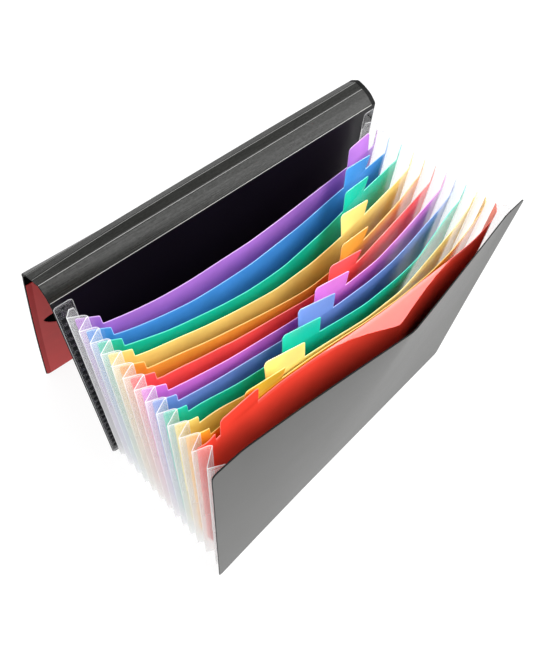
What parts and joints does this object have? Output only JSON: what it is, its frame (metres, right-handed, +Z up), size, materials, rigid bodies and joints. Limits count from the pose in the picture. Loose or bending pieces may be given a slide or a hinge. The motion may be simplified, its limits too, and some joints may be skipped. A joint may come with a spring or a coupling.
{
  "type": "accordion file folder",
  "caption": "Expanding accordion file with stiff covers, pleated clear gussets, coloured tabbed dividers, and a fold-over flap on a scored spine that props behind as a stand.",
  "frame": {"origin": "middle of the outer box, on the surface the folder stands on", "axes": "+X along the covers' width, to the right as seen from the front; +Y from the front cover to the rear cover and flap; +Z up"},
  "size_m": [0.33, 0.2678, 0.2525],
  "materials": {
    "cover_black": "satin embossed polypropylene sheet",
    "spine_black": "fine grained polypropylene sheet with score lines",
    "flap_red": "smooth polypropylene sheet",
    "clear_sheet": "frosted clear polypropylene sheet",
    "divider_purple": "satin translucent polypropylene sheet",
    "divider_blue": "satin translucent polypropylene sheet",
    "divider_green": "satin translucent polypropylene sheet",
    "divider_yellow": "satin translucent polypropylene sheet",
    "divider_orange": "satin translucent polypropylene sheet",
    "divider_red": "satin translucent polypropylene sheet"
  },
  "bodies": {
    "rear_cover": {"rear_cover": "cover_black", "rear_weld_flange_left": "clear_sheet", "rear_weld_flange_right": "clear_sheet", "gusset_left": "clear_sheet", "gusset_right": "clear_sheet", "gusset_bottom": "clear_sheet"},
    "front_cover": {"front_cover": "cover_black", "front_weld_flange_left": "clear_sheet", "front_weld_flange_right": "clear_sheet"},
    "divider_01": {"divider_01_purple": "divider_purple"},
    "divider_02": {"divider_02_blue": "divider_blue"},
    "divider_03": {"divider_03_green": "divider_green"},
    "divider_04": {"divider_04_yellow": "divider_yellow"},
    "divider_05": {"divider_05_orange": "divider_orange"},
    "divider_06": {"divider_06_red": "divider_red"},
    "divider_07": {"divider_07_purple": "divider_purple"},
    "divider_08": {"divider_08_blue": "divider_blue"},
    "divider_09": {"divider_09_green": "divider_green"},
    "divider_10": {"divider_10_yellow": "divider_yellow"},
    "divider_11": {"divider_11_orange": "divider_orange"},
    "divider_12": {"divider_12_red": "divider_red"},
    "spine_strip_1": {"spine_strip_1": "spine_black"},
    "spine_strip_2": {"spine_strip_2": "spine_black"},
    "spine_strip_3": {"spine_strip_3": "spine_black"},
    "spine_strip_4": {"spine_strip_4": "spine_black"},
    "spine_strip_5": {"spine_strip_5": "spine_black"},
    "flap": {"flap_panel": "cover_black", "flap_outer_pocket": "flap_red"}
  },
  "joints": [
    {"name": "accordion_slide", "type": "slide", "parent": "rear_cover", "child": "front_cover", "axis": [0, 1, 0], "range_m": [0, 0.1298], "deforming": ["gusset_left", "gusset_right", "gusset_bottom"]},
    {"name": "divider_01_slide", "type": "slide", "parent": "rear_cover", "child": "divider_01", "axis": [0, 1, 0], "range_m": [0, 0.00929]},
    {"name": "divider_02_slide", "type": "slide", "parent": "rear_cover", "child": "divider_02", "axis": [0, 1, 0], "range_m": [0, 0.01856]},
    {"name": "divider_03_slide", "type": "slide", "parent": "rear_cover", "child": "divider_03", "axis": [0, 1, 0], "range_m": [0, 0.02783]},
    {"name": "divider_04_slide", "type": "slide", "parent": "rear_cover", "child": "divider_04", "axis": [0, 1, 0], "range_m": [0, 0.03711]},
    {"name": "divider_05_slide", "type": "slide", "parent": "rear_cover", "child": "divider_05", "axis": [0, 1, 0], "range_m": [0, 0.04638]},
    {"name": "divider_06_slide", "type": "slide", "parent": "rear_cover", "child": "divider_06", "axis": [0, 1, 0], "range_m": [0, 0.05565]},
    {"name": "divider_07_slide", "type": "slide", "parent": "rear_cover", "child": "divider_07", "axis": [0, 1, 0], "range_m": [0, 0.06492]},
    {"name": "divider_08_slide", "type": "slide", "parent": "rear_cover", "child": "divider_08", "axis": [0, 1, 0], "range_m": [0, 0.07419]},
    {"name": "divider_09_slide", "type": "slide", "parent": "rear_cover", "child": "divider_09", "axis": [0, 1, 0], "range_m": [0, 0.08346]},
    {"name": "divider_10_slide", "type": "slide", "parent": "rear_cover", "child": "divider_10", "axis": [0, 1, 0], "range_m": [0, 0.09273]},
    {"name": "divider_11_slide", "type": "slide", "parent": "rear_cover", "child": "divider_11", "axis": [0, 1, 0], "range_m": [0, 0.10201]},
    {"name": "divider_12_slide", "type": "slide", "parent": "rear_cover", "child": "divider_12", "axis": [0, 1, 0], "range_m": [0, 0.11128]},
    {"name": "spine_fold_1", "type": "hinge", "parent": "rear_cover", "child": "spine_strip_1", "pos_m": [0, 0.02163, 0.24], "axis": [1, 0, 0], "range_deg": [-1.73, 33], "stiffness_Nm_per_rad": 1},
    {"name": "spine_fold_2", "type": "hinge", "parent": "spine_strip_1", "child": "spine_strip_2", "pos_m": [0, 0.02613, 0.24779], "axis": [1, 0, 0], "range_deg": [-3.35, 64], "stiffness_Nm_per_rad": 1},
    {"name": "spine_fold_3", "type": "hinge", "parent": "spine_strip_2", "child": "spine_strip_3", "pos_m": [0, 0.03408, 0.25202], "axis": [1, 0, 0], "range_deg": [-3.66, 70], "stiffness_Nm_per_rad": 1},
    {"name": "spine_fold_4", "type": "hinge", "parent": "spine_strip_3", "child": "spine_strip_4", "pos_m": [0, 0.04307, 0.25171], "axis": [1, 0, 0], "range_deg": [-2.77, 53], "stiffness_Nm_per_rad": 1},
    {"name": "spine_fold_5", "type": "hinge", "parent": "spine_strip_4", "child": "spine_strip_5", "pos_m": [0, 0.05087, 0.24721], "axis": [1, 0, 0], "range_deg": [-2.46, 47], "stiffness_Nm_per_rad": 1},
    {"name": "flap_fold", "type": "hinge", "parent": "spine_strip_5", "child": "flap", "pos_m": [0, 0.05641, 0.24011], "axis": [1, 0, 0], "range_deg": [-3.83, 73.21], "stiffness_Nm_per_rad": 1}
  ],
  "couplings": [
    {"joint": "divider_01_slide", "follows": "accordion_slide", "ratio": 0.071429},
    {"joint": "divider_02_slide", "follows": "accordion_slide", "ratio": 0.14286},
    {"joint": "divider_03_slide", "follows": "accordion_slide", "ratio": 0.21429},
    {"joint": "divider_04_slide", "follows": "accordion_slide", "ratio": 0.28571},
    {"joint": "divider_05_slide", "follows": "accordion_slide", "ratio": 0.35714},
    {"joint": "divider_06_slide", "follows": "accordion_slide", "ratio": 0.42857},
    {"joint": "divider_07_slide", "follows": "accordion_slide", "ratio": 0.5},
    {"joint": "divider_08_slide", "follows": "accordion_slide", "ratio": 0.57143},
    {"joint": "divider_09_slide", "follows": "accordion_slide", "ratio": 0.64286},
    {"joint": "divider_10_slide", "follows": "accordion_slide", "ratio": 0.71429},
    {"joint": "divider_11_slide", "follows": "accordion_slide", "ratio": 0.78571},
    {"joint": "divider_12_slide", "follows": "accordion_slide", "ratio": 0.85714}
  ]
}
